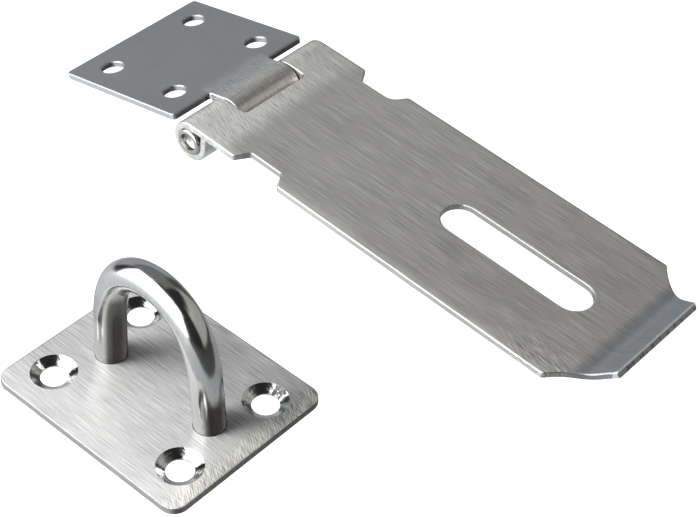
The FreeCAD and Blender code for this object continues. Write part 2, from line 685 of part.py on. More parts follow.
def loop_path(body, sheet):
    """The rod's axis: two legs that lean in a little, two large shoulders and a round crown."""
    path = Drawing(body, sheet, "XZ_Plane", "loop_path")
    thickness = number(sheet, "Sizes.sheet_thickness")
    half_span = number(sheet, "Sizes.loop_foot_span") / 2
    height = number(sheet, "Sizes.loop_height")
    foot_radius = number(sheet, "Sizes.foot_bend_radius")
    shoulder_radius = number(sheet, "Sizes.shoulder_radius")
    lean = number(sheet, "Sizes.lean_angle")
    steep = number(sheet, "Sizes.shoulder_angle")
    sin_lean, cos_lean = math.sin(math.radians(lean)), math.cos(math.radians(lean))
    sin_steep, cos_steep = math.sin(math.radians(steep)), math.cos(math.radians(steep))

    # The leg's length and the crown's radius follow from the span and the height
    across = half_span - foot_radius * (1 - cos_lean) - shoulder_radius * (cos_lean - cos_steep)
    rise = height - foot_radius * sin_lean - shoulder_radius * (sin_steep - sin_lean)
    share = sin_lean * (1 - sin_steep) - cos_steep * cos_lean
    leg = (across * (1 - sin_steep) - rise * cos_steep) / share
    crown_radius = (rise * sin_lean - across * cos_lean) / share
    crown_centre = (0, thickness + height - crown_radius, 0)

    legs = []
    for side in (-1, 1):
        foot_x = side * half_span
        bend_centre = (foot_x - side * foot_radius, thickness, 0)
        leg_x = foot_x - side * foot_radius * (1 - cos_lean)
        leg_z = thickness + foot_radius * sin_lean
        top_x = leg_x - side * leg * sin_lean
        top_z = leg_z + leg * cos_lean
        shoulder_centre = (top_x - side * shoulder_radius * cos_lean, top_z - shoulder_radius * sin_lean, 0)
        up = 180 if side < 0 else 0
        turn = -side
        in_plate = path.line((foot_x, 0, 0), (foot_x, thickness, 0))
        foot = path.arc(bend_centre, foot_radius, up, up - turn * lean)
        straight = path.line((leg_x, leg_z, 0), (top_x, top_z, 0))
        shoulder = path.arc(shoulder_centre, shoulder_radius, up - turn * lean, up - turn * steep)
        for before, after in ((in_plate, foot), (foot, straight), (straight, shoulder)):
            path.join("Tangent", before, after)
        path.place(in_plate[1], f"({side} * Sizes.loop_foot_span / 2)", "0")
        path.keep("Vertical", in_plate[0])
        path.size("DistanceY", (ORIGIN, START, *in_plate[2]), "Sizes.sheet_thickness")
        path.size("Radius", (foot[0],), "Sizes.foot_bend_radius")
        path.size("Radius", (shoulder[0],), "Sizes.shoulder_radius")
        legs.append((straight, shoulder))

    (left_leg, left_shoulder), (right_leg, right_shoulder) = legs
    crown = path.arc(crown_centre, crown_radius, 180 - steep, steep)
    path.join("Tangent", left_shoulder, crown)
    path.keep("Tangent", *crown[2], *right_shoulder[2])
    path.keep("PointOnObject", crown[0], CENTRE, Y_AXIS)
    path.size("Angle", (*left_leg[1], Y_AXIS, START), "Sizes.lean_angle")
    path.size("Angle", (Y_AXIS, START, *right_leg[1]), "Sizes.lean_angle")
    path.size("Angle", (crown[0],), "180 - 2 * Sizes.shoulder_angle")
    top = path.sketch.addGeometry(Part.Point(Vector(0, thickness + height, 0)), True)
    path.keep("PointOnObject", top, START, Y_AXIS)
    path.keep("PointOnObject", top, START, crown[0])
    path.size("DistanceY", (ORIGIN, START, top, START), "Sizes.sheet_thickness + Sizes.loop_height")
    return path


def make_staple_loop(document, sheet):
    """The staple's loop: one round rod, bent, with its feet in the plate."""
    body = make_body(document, "staple_loop")
    path = loop_path(body, sheet)
    section = Drawing(body, sheet, "XY_Plane", "rod_section")
    section.circle("(-Sizes.loop_foot_span / 2)", "0", "Sizes.rod_diameter")
    document.recompute()
    rod = body.newObject("PartDesign::AdditivePipe", "bent_rod")
    rod.Profile = section.sketch
    rod.Spine = path.sketch
    document.recompute()
    body.setExpression("Placement.Base.x", "Sizes.loop_offset_x")
    body.setExpression("Placement.Base.y", "Sizes.loop_offset_y")
    return body


def check(document, bodies):
    """Stops if any object failed or any sub-part isn't one valid solid."""
    document.recompute()
    for item in document.Objects:
        if {"Invalid", "Error"} & set(item.State):
            raise RuntimeError(f"{item.Name} failed: {item.State}")
    for body in bodies:
        shape = body.Shape
        if shape.isNull() or not shape.isValid() or len(shape.Solids) != 1:
            raise RuntimeError(f"{body.Label} isn't one valid solid")


def main():
    """Builds the sub-parts, checks them and writes one STEP file for each."""
    document = FreeCAD.newDocument("hasp")
    sheet = make_sheet(document)
    bodies = [
        make_leaf(document, sheet),
        make_strap(document, sheet),
        make_pin(document, sheet),
        make_staple_plate(document, sheet),
        make_staple_loop(document, sheet),
    ]
    check(document, bodies)
    os.makedirs("parts", exist_ok=True)
    for body in bodies:
        body.Shape.exportStep(f"parts/{body.Label}.step")
        box = body.Shape.BoundBox
        print(f"{body.Label}: {box.XLength:.2f} x {box.YLength:.2f} x {box.ZLength:.2f} mm")


main()
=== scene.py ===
"""The looks of an open door hasp and its staple: brushed sheet steel and a polished loop."""

import math
from types import SimpleNamespace

import bpy
from mathutils import Matrix, Vector


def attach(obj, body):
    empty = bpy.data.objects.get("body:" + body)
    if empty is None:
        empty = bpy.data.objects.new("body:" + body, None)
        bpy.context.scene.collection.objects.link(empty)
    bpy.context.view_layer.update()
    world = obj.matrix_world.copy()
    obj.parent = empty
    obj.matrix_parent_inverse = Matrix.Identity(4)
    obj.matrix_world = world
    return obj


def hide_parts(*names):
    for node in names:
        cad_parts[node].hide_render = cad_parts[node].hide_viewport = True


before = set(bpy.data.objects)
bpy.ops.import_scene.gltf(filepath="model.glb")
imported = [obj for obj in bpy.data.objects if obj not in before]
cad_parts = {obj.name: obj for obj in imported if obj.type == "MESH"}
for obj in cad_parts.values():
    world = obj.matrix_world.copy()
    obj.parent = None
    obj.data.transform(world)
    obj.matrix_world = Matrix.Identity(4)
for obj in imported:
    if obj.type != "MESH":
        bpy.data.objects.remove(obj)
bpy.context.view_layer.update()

MM = 0.001
WHITE = (1, 1, 1, 1)

# The camera, as the photograph's perspective gives it. Angles are in degrees.
VIEW_AZIMUTH = 40.173
VIEW_ELEVATION = 42.595
VIEW_ROLL = 2.491
VIEW_DISTANCE = 316.137 * MM
VIEW_TARGET = Vector((1.081, 45.169, 0)) * MM
FOCAL_LENGTH = 92.205
SENSOR_WIDTH = 36
NEAREST_SEEN = 0.01
FARTHEST_SEEN = 50

# The floor lies below the strap's lowest swing.
FLOOR_DROP = 100 * MM
FLOOR_SIZE = 4.0
FLOOR_COLOUR = (0.84, 0.84, 0.84, 1)
FLOOR_ROUGHNESS = 0.9
FLOOR_GLOW = 0.75

# The floor's colour as metal mirrors it, with light and shade painted in: all round the model, a painted pool
# of lamp light, and painted dark far off.
FLOOR_IN_METAL = (0.48, 0.505, 0.53, 1)
FLOOR_NEAR_LAMP = (0.66, 0.69, 0.72, 1)
FLOOR_FAR_OFF = (0.10, 0.10, 0.10, 1)

# Where that painted pool of light starts and is full, along a direction over the floor, and where the painted
# dark far off starts and is full along X, in millimetres.
TOWARDS_LAMP = (-0.82, -0.57, 0)
LAMP_POOL = (92, 140)
POOL_END = (185, 245)

# The softbox stands in front, to the left. Angles are in degrees, distances in metres.
SOFTBOX_AZIMUTH = -20
SOFTBOX_ELEVATION = 27
SOFTBOX_DISTANCE = 0.62
SOFTBOX_WIDTH = 1.35
SOFTBOX_HEIGHT = 0.86
SOFTBOX_RADIANCE = 2.4

# The rest of the studio, as metal mirrors it: each screen's edges in degrees, from the left edge
# to the right edge round the model (0 is straight behind it) and from its foot to its top.
PLAIN_LIGHT = (0.35, 0.35, 0.35, 1)
STUDIO_GLOOM = (0.025, 0.025, 0.026)
EDGE_SOFTNESS = 5
SCREENS = {
    "back_left": ((-87, -21), (-90, 27), (0.35, 0.385, 0.41)),
    "back_left_high": ((-108, -21), (30, 66), (0.185, 0.185, 0.19)),
    "back_gap": ((-21, 1), (-90, 45), (0.06, 0.06, 0.064)),
    "back_gap_high": ((-21, 8), (45, 66), (0.15, 0.15, 0.15)),
    "back_right": ((1, 91), (-90, 45), (0.42, 0.41, 0.385)),
    "back_right_glow": ((35, 88), (33, 53), (0.13, 0.13, 0.125)),
    "top_left": ((-125, 5), (66, 90), (0.18, 0.17, 0.16)),
    "top_front": ((-180, -125), (77, 90), (0.12, 0.115, 0.11)),
    "front_left": ((-180, -112), (-90, 66), (0.55, 0.55, 0.54)),
    "front_right": ((150, 180), (-90, 62), (0.55, 0.55, 0.54)),
}

# The finishes. All of them share these names:
# - tone is how much light the steel gives back, roughness how wide it spreads it, brushing how much
#   wider across the belt lines than along them, and tilt the sheet's own slope in degrees about Y
# - relief is the height of the pattern in metres, and the relief of one pattern is its share of that
# - lines and strokes have a length and a width in millimetres, and a turn is in degrees
# - the pairs of a facing (how far a normal leans over), of a level (of noise) and of a place
#   (in millimetres) say where something starts and where it is full
# - the plain name of a pattern or place is what it adds to the tone
# - a factor is what the tone, or what it names, is multiplied by there
LEAF = SimpleNamespace(
    tilt=-11.12,
    # The leaf's tone is set darker than the strap's, partly its own finish and partly painted shade for its
    # tilt.
    tone=0.485,
    roughness=0.42,
    brushing=0.6,
    relief=0.0012 * MM,
    tint=(0.985, 1.0, 1.018, 1),
    fine_lines=(3.0, 0.14),
    fine=0.02,
    patch_size=11.0,
    patches=0.012,
    patch_roughness=0.015,
    grain_size=0.3,
    grain=0.014,
    knuckle_side=(8.4, 8.0),
    rolled_start=(-7.5, -3.5),
    rolled=0.14,
    scratch_strokes=(2.0, 0.24),
    scratch_turn=4,
    scratches=0.14,
    scratch_relief=1.5,
    front_start=(-3.4, 0.5),
    front=0.13,
    front_tint=(1.02, 1.0, 0.945, 1),
    band_width=0.4,
    band_length=4.0,
    bands=0.12,
    # Painted shade: the hole walls and other faces that neither face out nor to the side are darkened.
    wall_facing=(0.4, 0.15),
    wall_shade_factor=0.35,
    # Painted highlight: the leaf's near side faces are made lighter.
    painted_near_side_factor=1.25,
)
STRAP = SimpleNamespace(
    tilt=4.505,
    tone=0.56,
    roughness=0.42,
    side_roughness_factor=0.7,
    lip_roughness_factor=0.85,
    brushing=0.9,
    relief=0.002 * MM,
    tint=(1.0, 0.985, 0.945, 1),
    # The lip's bluer tint is a painted reflection.
    lip_reflection_tint=(0.965, 1.0, 1.035, 1),
    fine_lines=(9.0, 0.17),
    fine=0.155,
    medium_lines=(16.0, 0.45),
    medium=0.03,
    medium_roughness=0.02,
    broad_lines=(55.0, 3.8),
    broad=0.035,
    lip_lines_factor=0.3,
    side_lines_factor=0.4,
    grain_size=0.25,
    grain=0.04,
    scratch_strokes=(2.6, 0.26),
    scratch_turn=-16,
    scratches=0.3,
    scratch_relief=1.5,
    stray_strokes=(4.0, 0.25),
    stray_turn=3,
    stray_level=(0.3, 0.75),
    stray=0.09,
    knuckle_end=(10.5, 6.0),
    knuckle_across=(24.0, -20.0),
    knuckle_far_strength=0.35,
    by_knuckle=0.34,
    near_corner_across=(-9.0, -16.0),
    near_corner_start=(68.0, 79.0),
    near_corner_end=(88.0, 84.0),
    near_corner=0.04,
    # Painted highlight: the strip inside the near edge, over its rolled edge, is made lighter.
    near_edge_across=(-15.9, -17.7),
    near_edge_highlight=0.16,
    # Painted shade: a dark line along the strap's far edge.
    far_edge_across=(17.55, 17.9),
    far_edge_shade_factor=0.6,
    # Painted shade on the near side face by the knuckle.
    near_side_end=(8.0, 5.0),
    painted_near_side_factor=0.78,
    # Painted shade and reflection: the lip is made darker, and bluer by its tint.
    lip_start=(84.8, 87.2),
    lip_shade_factor=0.76,
    # Painted shade: a darker streak along the lip's bend.
    bend=(85.0, 87.4),
    bend_softness=0.8,
    bend_shade_factor=0.88,
    # Painted highlight along the rounded edge of the lip's tip.
    lip_edge_start=(91.3, 91.4),
    lip_edge_facing=(-0.35, 0.66),
    lip_edge_softness=0.08,
    lip_edge_highlight=0.9,
    end_start=(85.0, 87.0),
    end_facing=(0.68, 0.77),
    end_factor=1.25,
    speck_size=0.8,
    speck_level=(-0.1, 0.7),
    speck_factor=0.5,
)
PLATE = SimpleNamespace(
    # The plate's tone is set brighter than the strap's, partly its own finish and partly painted light.
    tone=0.69,
    roughness=0.48,
    brushing=0.95,
    relief=0.002 * MM,
    tint=(1.0, 1.0, 0.995, 1),
    fine_lines=(5.5, 0.17),
    fine=0.19,
    medium_lines=(9.0, 0.4),
    medium=0.045,
    medium_roughness=0.03,
    patch_size=12.0,
    patches=0.04,
    grain_size=0.25,
    grain=0.05,
    burnished_along=(16.8, 19.4),
    burnished_facing=(0.6, 0.9),
    burnished_tint=(1.0, 0.985, 0.93, 1),
    burnish_strokes=(2.6, 0.2),
    burnish_turn=-34,
    burnish=0.36,
    # Painted shade towards the plate's back and a painted sheen towards its near side.
    back_direction=(0.25, 0.97, 0),
    back_start=(-2.0, 16.0),
    back=-0.11,
    near_start=(-6.0, -16.5),
    near=0.16,
    # Painted glow: light that the polished loop throws on the plate in front of it, painted into the tone.
    glow_along=(-15.0, 3.0),
    glow_along_softness=6.0,
    glow_across=(-14.0, -4.5),
    glow_across_softness=4.0,
    glow=0.08,
    # Painted shade: dark lines along the plate's far and left edges.
    far_edge_across=(16.5, 16.8),
    left_edge_along=(-20.5, -20.8),
    edge_shade_factor=0.6,
    # Painted shade on the plate's faces that turn away to the far side.
    far_rim_direction=(-0.645, 0.764, 0),
    far_rim_facing=(0.25, 0.6),
    far_rim_shade_factor=0.45,
    # Painted shade: the plate's right end face is darker.
    end_facing=(0.6, 0.85),
    end_factor=0.5,
    # Painted shade: the plate's near side faces are darker.
    painted_near_side_factor=0.34,
    screws=[(side_x * 14.65, side_y * 9.6) for side_x in (-1, 1) for side_y in (-1, 1)],
    countersink=(3.95, 3.89),
    countersink_facing=(0.97, 0.93),
    countersink_roughness=0.12,
    polish_size=0.8,
    polish=0.64,
    polish_patches=0.16,
    chatter_size=0.9,
    chatter_relief=6.0,
)
LOOP = SimpleNamespace(
    tone=0.67,
    roughness=0.15,
    relief=0.01 * MM,
    tint=(1.0, 0.993, 0.972, 1),
    ripple_size=5.0,
    grain_size=0.4,
    grain=0.03,
    mark_width=0.35,
    mark_length=4.0,
    marks=0.04,
    mark_roughness=0.02,
    mark_relief=0.05,
    legs_apart=(1.0, -1.0),
    # Painted brown shade low on one side of the legs: its reach on the left and right leg, soft edge, side,
    # tint and darkening; then painted shade low on the left leg.
    painted_shade_left=17.0,
    painted_shade_right=8.0,
    painted_shade_softness=1.5,
    painted_shade_direction=(0.764, 0.645, 0),
    painted_shade_facing=(-0.28, 0.0),
    painted_shade_tint=(1.03, 1.0, 0.92, 1),
    painted_shade_factor=0.32,
    left_leg_shade_factor=0.88,
)
PIN = SimpleNamespace(
    tone=0.6,
    roughness=0.2,
    relief=0.004 * MM,
    tint=(1.0, 0.98, 0.93),
    grain_size=0.4,
    grain=0.04,
    grain_roughness=0.03,
)

# The hinge's middle in millimetres.
HINGE_PLACE = (-38.9, 63.15)

# The belt lines' direction leans a little to the side, so that it never stands straight on a face.
SIDE_LEAN = 0.02

# How far a normal leans over where a place counts as a sheet's side, and as its near side.
SIDE_FACING = (0.5, 0.8)
NEAR_SIDE_FACING = (-0.45, -0.8)

# Noise is widened about its middle, to reach from about -1 to 1.
NOISE_REACH = 2.2

# The loop's rod, as it is bent: places and radii in millimetres, leans from upright.
ROD_RADIUS = 2.725
LOOP_PLACE = Vector((0.3, -0.2, 0))
LOOP_HALF_SPAN = 11.45
PLATE_THICKNESS = 1.3
CROWN_HEIGHT = 23.1
FOOT_BEND = 12.0
LEG_LEAN = math.radians(3.4)
SHOULDER_BEND = 22.0
SHOULDER_LEAN = math.radians(24)
LOOP_STEP = 0.25
LOOP_SIDES = 72


def studio_direction(azimuth, elevation):
    """The unit vector towards a place round the model, by its angles in degrees."""
    turn = math.radians(azimuth)
    rise = math.radians(elevation)
    flat = math.cos(rise)
    return Vector((math.sin(turn) * flat, -math.cos(turn) * flat, math.sin(rise)))


def add_camera():
    """The camera at the photograph's place, with its slight roll."""
    back = studio_direction(VIEW_AZIMUTH, VIEW_ELEVATION)
    level_right = Vector((0, 0, 1)).cross(back).normalized()
    level_up = back.cross(level_right)
    roll = math.radians(VIEW_ROLL)
    right = math.cos(roll) * level_right + math.sin(roll) * level_up
    up = math.cos(roll) * level_up - math.sin(roll) * level_right
    data = bpy.data.cameras.new("view")
    data.sensor_fit = "HORIZONTAL"
    data.sensor_width = SENSOR_WIDTH
    data.lens = FOCAL_LENGTH
    data.clip_start = NEAREST_SEEN
    data.clip_end = FARTHEST_SEEN
    camera = bpy.data.objects.new("view", data)
    bpy.context.scene.collection.objects.link(camera)
    axes = Matrix((right, up, back)).transposed()
    camera.matrix_world = Matrix.Translation(VIEW_TARGET + back * VIEW_DISTANCE) @ axes.to_4x4()
    bpy.context.scene.camera = camera


class Nodes:
    """Short ways to add and join the nodes of one tree."""

    def __init__(self, tree):
        self.tree = tree

    def add(self, kind, **settings):
        """A new node with these settings."""
        node = self.tree.nodes.new(kind)
        for name, value in settings.items():
            setattr(node, name, value)
        return node

    def put(self, socket, value):
        """Joins a socket to another node's output, or sets it to a plain value."""
        if isinstance(value, bpy.types.NodeSocket):
            self.tree.links.new(value, socket)
        else:
            socket.default_value = value

    def maths(self, operation, *values):
        """The result of one sum on up to three numbers."""
        node = self.add("ShaderNodeMath", operation=operation)
        for socket, value in zip(node.inputs, values):
            self.put(socket, value)
        return node.outputs[0]

    def product(self, *values):
        """Several numbers multiplied."""
        result = values[0]
        for value in values[1:]:
            result = self.maths("MULTIPLY", result, value)
        return result

    def total(self, *values):
        """The sum of several numbers."""
        result = values[0]
        for value in values[1:]:
            result = self.maths("ADD", result, value)
        return result

    def scaled(self, vector, factor):
        """A vector times a number."""
        node = self.add("ShaderNodeVectorMath", operation="SCALE")
        self.put(node.inputs[0], vector)
        self.put(node.inputs["Scale"], factor)
        return node.outputs[0]

    def dot(self, vector, direction):
        """How far a vector reaches along a direction."""
        node = self.add("ShaderNodeVectorMath", operation="DOT_PRODUCT")
        self.put(node.inputs[0], vector)
        self.put(node.inputs[1], direction)
        return node.outputs["Value"]

    def joined(self, x, y, z):
        """A vector of three numbers."""
        node = self.add("ShaderNodeCombineXYZ")
        for socket, value in zip(node.inputs, (x, y, z)):
            self.put(socket, value)
        return node.outputs[0]

    def parted(self, vector):
        """The three numbers of a vector."""
        node = self.add("ShaderNodeSeparateXYZ")
        self.put(node.inputs[0], vector)
        return node.outputs

    def step(self, value, start, end, low=0.0, high=1.0):
        """A smooth change from low to high as a number goes from start to end."""
        node = self.add("ShaderNodeMapRange", interpolation_type="SMOOTHSTEP")
        for name, number in (
            ("Value", value),
            ("From Min", start),
            ("From Max", end),
            ("To Min", low),
            ("To Max", high),
        ):
            self.put(node.inputs[name], number)
        return node.outputs[0]

    def band(self, value, low, high, softness):
        """1 between two limits and 0 outside them, with soft edges."""
        above = self.step(value, low - softness, low + softness)
        below = self.step(value, high + softness, high - softness)
        return self.product(above, below)

    def faded(self, mask, factor):
        """A factor where the mask is 1, which fades to 1 where the mask is 0."""
        return self.maths("MULTIPLY_ADD", mask, factor - 1, 1.0)

    def flipped(self, mask):
        """1 where the mask is 0, and 0 where it is 1."""
        return self.maths("SUBTRACT", 1.0, mask)

    def blend(self, share, colour, other):
        """A colour that goes to another one as a number goes from 0 to 1."""
        node = self.add("ShaderNodeMix", data_type="RGBA")
        inputs = [socket for socket in node.inputs if socket.enabled]
        for socket, value in zip(inputs, (share, colour, other)):
            self.put(socket, value)
        return next(socket for socket in node.outputs if socket.enabled)

    def noise(self, vector, detail=2.0, roughness=0.5):
        """Soft noise about zero, from about -1 to 1."""
        node = self.add("ShaderNodeTexNoise")
        self.put(node.inputs["Vector"], vector)
        self.put(node.inputs["Scale"], 1.0)
        self.put(node.inputs["Detail"], detail)
        self.put(node.inputs["Roughness"], roughness)
        return self.maths("MULTIPLY_ADD", node.outputs[0], 2 * NOISE_REACH, -NOISE_REACH)


class Steel(Nodes):
    """One steel finish: the node tree of a material, in millimetres along the sheet's own axes."""

    def __init__(self, name, tilt=0.0):
        self.material = bpy.data.materials.new(name)
        self.material.use_nodes = True
        super().__init__(self.material.node_tree)
        self.shader = self.tree.nodes["Principled BSDF"]
        self.shader.inputs["Metallic"].default_value = 1.0
        spot = self.add("ShaderNodeTexCoord")
        cosine, sine = math.cos(math.radians(tilt)), math.sin(math.radians(tilt))
        along, across, out = (cosine, 0, -sine), (0, 1, 0), (sine, 0, cosine)
        self.place = self.scaled(spot.outputs["Object"], 1 / MM)
        self.along = self.dot(self.place, along)
        self.across = self.dot(self.place, across)
        self.height = self.dot(self.place, out)
        self.hinge_along = HINGE_PLACE[0] * cosine
        self.length_axis = (cosine, SIDE_LEAN, -sine)
        self.normal = spot.outputs["Normal"]
        self.facing_along = self.dot(self.normal, along)
        self.facing_out = self.dot(self.normal, out)
        facing_across = self.dot(self.normal, across)
        self.on_side = self.step(self.maths("ABSOLUTE", facing_across), *SIDE_FACING)
        self.on_near_side = self.step(facing_across, *NEAR_SIDE_FACING)

    def from_hinge(self):
        """How far a place lies from the hinge's middle, along the sheet and across it."""
        along = self.maths("SUBTRACT", self.along, self.hinge_along)
        across = self.maths("SUBTRACT", self.across, HINGE_PLACE[1])
        return along, across

    def streaks(self, length, width, detail=1.0, shift=0.0):
        """Lines along the sheet, as a belt leaves them, also on its sides. A shift picks other ones."""
        spot = self.joined(
            self.maths("MULTIPLY_ADD", self.along, 1 / length, shift),
            self.maths("DIVIDE", self.across, width),
            self.maths("DIVIDE", self.product(self.height, self.on_side), width),
        )
        return self.noise(spot, detail, roughness=0.6)

    def strokes(self, length, width, turn, shift=0.0):
        """Short scratches, turned in the sheet's plane by some degrees. A shift picks other ones."""
        cosine, sine = math.cos(math.radians(turn)), math.sin(math.radians(turn))
        run = self.total(self.product(self.along, cosine), self.product(self.across, sine))
        side = self.total(self.product(self.across, cosine), self.product(self.along, -sine))
        spot = self.joined(
            self.maths("MULTIPLY_ADD", run, 1 / length, shift),
            self.maths("DIVIDE", side, width),
            self.maths("DIVIDE", self.product(self.height, self.on_side), width),
        )
        return self.noise(spot, detail=1.0, roughness=0.6)

    def clouds(self, size, detail=2.0):
        """Soft patches or grains of one size."""
        spot = self.joined(
            self.maths("DIVIDE", self.along, size),
            self.maths("DIVIDE", self.across, size),
            self.maths("DIVIDE", self.height, size),
        )
        return self.noise(spot, detail)

    def near_holes(self, centres, start, full):
        """1 near any of the centres, in the sheet's plane."""
        result = 0.0
        for x, y in centres:
            gap = self.add("ShaderNodeVectorMath", operation="DISTANCE")
            self.put(gap.inputs[0], self.joined(self.along, self.across, 0.0))
            self.put(gap.inputs[1], (x, y, 0.0))
            result = self.maths("MAXIMUM", result, self.step(gap.outputs["Value"], start, full))
        return result

    def colour(self, tint, tone):
        """Sets the colour: a tint times a tone that varies over the surface."""
        self.put(self.shader.inputs["Base Color"], self.scaled(tint, tone))

    def roughness(self, value):
        """How wide the surface spreads light."""
        self.put(self.shader.inputs["Roughness"], value)

    def brushed(self, strength):
        """Spreads light across the belt lines more than along them."""
        self.put(self.shader.inputs["Anisotropic"], strength)
        side = self.add("ShaderNodeVectorMath", operation="CROSS_PRODUCT")
        self.put(side.inputs[0], self.normal)
        self.put(side.inputs[1], self.length_axis)
        turned = self.add(
            "ShaderNodeVectorTransform", vector_type="VECTOR", convert_from="OBJECT", convert_to="WORLD"
        )
        self.put(turned.inputs[0], side.outputs[0])
        self.put(self.shader.inputs["Tangent"], turned.outputs[0])

    def bump(self, height, depth):
        """Raises the surface by up to a depth in metres, where height says."""
        node = self.add("ShaderNodeBump")
        node.inputs["Strength"].default_value = 1.0
        node.inputs["Distance"].default_value = depth
        self.put(node.inputs["Height"], height)
        self.put(self.shader.inputs["Normal"], node.outputs[0])


def leaf_steel():
    """The fixed leaf: fine-grained sheet whose dark tone is partly its own and partly painted shade, drawn
    and scratched where the knuckle was rolled, with painted shade on its inward faces and a painted highlight
    on its near side.
    """
    steel = Steel("leaf_steel", LEAF.tilt)
    along, across = steel.from_hinge()
    in_knuckle = steel.step(steel.maths("ABSOLUTE", across), *LEAF.knuckle_side)
    rolled = steel.product(in_knuckle, steel.step(along, *LEAF.rolled_start))
    front = steel.product(in_knuckle, steel.step(along, *LEAF.front_start))
    # Painted shade on the hole walls and other inward faces.
    shaded_walls = steel.product(steel.step(steel.facing_out, *LEAF.wall_facing), steel.flipped(steel.on_side))
    fine = steel.streaks(*LEAF.fine_lines, detail=2.0)
    patches = steel.clouds(LEAF.patch_size)
    grain = steel.clouds(LEAF.grain_size)
    scratches = steel.strokes(*LEAF.scratch_strokes, LEAF.scratch_turn)
    bands = steel.noise(
        steel.joined(
            steel.maths("DIVIDE", along, LEAF.band_width),
            steel.maths("DIVIDE", steel.across, LEAF.band_length),
            0.0,
        )
    )
    tone = steel.total(
        LEAF.tone,
        steel.product(fine, LEAF.fine),
        steel.product(patches, LEAF.patches),
        steel.product(grain, LEAF.grain),
        steel.product(rolled, steel.maths("MULTIPLY_ADD", scratches, LEAF.scratches, LEAF.rolled)),
        steel.product(front, steel.maths("MULTIPLY_ADD", bands, LEAF.bands, LEAF.front)),
    )
    tone = steel.product(
        tone,
        steel.faded(shaded_walls, LEAF.wall_shade_factor),
        # Painted highlight on the leaf's near side faces.
        steel.faded(steel.on_near_side, LEAF.painted_near_side_factor),
    )
    steel.colour(steel.blend(front, LEAF.tint, LEAF.front_tint), tone)
    steel.roughness(steel.total(LEAF.roughness, steel.product(patches, LEAF.patch_roughness)))
    steel.brushed(LEAF.brushing)
    steel.bump(steel.total(fine, grain, steel.product(rolled, scratches, LEAF.scratch_relief)), LEAF.relief)
    return steel.material


def strap_steel():
    """The strap: belt lines, rough strokes by the knuckles, painted highlights on the rolled near edge and
    the lip's tip, painted shade on the far edge, the near side by the knuckle and the bend, and a lip painted
    darker and bluer as a reflection.
    """
    steel = Steel("strap_steel", STRAP.tilt)
    along, across = steel.from_hinge()
    by_knuckle = steel.product(
        steel.step(along, *STRAP.knuckle_end),
        steel.step(across, *STRAP.knuckle_across, STRAP.knuckle_far_strength, 1.0),
    )
    near_corner = steel.product(
        steel.step(across, *STRAP.near_corner_across),
        steel.step(along, *STRAP.near_corner_start),
        steel.step(along, *STRAP.near_corner_end),
    )
    # Painted highlight inside the near edge.
    near_edge_highlight = steel.step(across, *STRAP.near_edge_across)
    # Painted shade along the far edge.
    far_edge_shade = steel.step(across, *STRAP.far_edge_across)
    # Painted shade on the near side face by the knuckle.
    near_side = steel.product(steel.on_near_side, steel.step(along, *STRAP.near_side_end))
    # The lip: painted darker and bluer as a reflection, with fewer belt lines and a smoother finish.
    lip = steel.step(along, *STRAP.lip_start)
    # Painted shade along the bend.
    bend_shade = steel.band(along, *STRAP.bend, STRAP.bend_softness)
    # Painted highlight on the tip's rounded edge.
    lip_edge_highlight = steel.product(
        steel.band(steel.facing_along, *STRAP.lip_edge_facing, STRAP.lip_edge_softness),
        steel.step(along, *STRAP.lip_edge_start),
    )
    end_face = steel.product(
        steel.step(steel.facing_along, *STRAP.end_facing), steel.step(along, *STRAP.end_start)
    )
    fine = steel.streaks(*STRAP.fine_lines)
    medium = steel.streaks(*STRAP.medium_lines, shift=7.0)
    broad = steel.streaks(*STRAP.broad_lines, detail=2.0, shift=3.0)
    grain = steel.clouds(STRAP.grain_size)
    scratches = steel.strokes(*STRAP.scratch_strokes, STRAP.scratch_turn)
    stray = steel.step(
        steel.strokes(*STRAP.stray_strokes, STRAP.stray_turn, shift=11.0), *STRAP.stray_level
    )
    specks = steel.step(
        steel.clouds(STRAP.speck_size, detail=3.0), *STRAP.speck_level, 1.0, STRAP.speck_factor
    )
    belt_lines = steel.product(
        steel.total(steel.product(fine, STRAP.fine), steel.product(medium, STRAP.medium)),
        steel.faded(lip, STRAP.lip_lines_factor),
        steel.faded(steel.on_side, STRAP.side_lines_factor),
    )
    tone = steel.total(
        STRAP.tone,
        belt_lines,
        steel.product(broad, STRAP.broad),
        steel.product(grain, STRAP.grain),
        steel.product(stray, steel.flipped(lip), STRAP.stray),
        steel.product(
            by_knuckle, steel.maths("MULTIPLY_ADD", scratches, STRAP.scratches, STRAP.by_knuckle)
        ),
        steel.product(
            near_corner, steel.maths("MULTIPLY_ADD", scratches, STRAP.scratches, STRAP.near_corner)
        ),
        steel.product(near_edge_highlight, STRAP.near_edge_highlight),
        steel.product(lip_edge_highlight, STRAP.lip_edge_highlight),
    )
    tone = steel.product(
        tone,
        steel.faded(far_edge_shade, STRAP.far_edge_shade_factor),
        steel.faded(lip, STRAP.lip_shade_factor),
        steel.faded(bend_shade, STRAP.bend_shade_factor),
        steel.faded(end_face, STRAP.end_factor),
        steel.maths("MAXIMUM", specks, steel.flipped(end_face)),
        steel.faded(near_side, STRAP.painted_near_side_factor),
    )
    steel.colour(steel.blend(lip, STRAP.tint, STRAP.lip_reflection_tint), tone)
    rough = steel.total(STRAP.roughness, steel.product(medium, STRAP.medium_roughness))
    steel.roughness(
        steel.product(
            rough,
            steel.faded(steel.on_side, STRAP.side_roughness_factor),
            steel.faded(lip, STRAP.lip_roughness_factor),
        )
    )
    steel.brushed(STRAP.brushing)
    scratched = steel.product(by_knuckle, scratches, STRAP.scratch_relief)
    steel.bump(steel.total(fine, medium, scratched), STRAP.relief)
    return steel.material


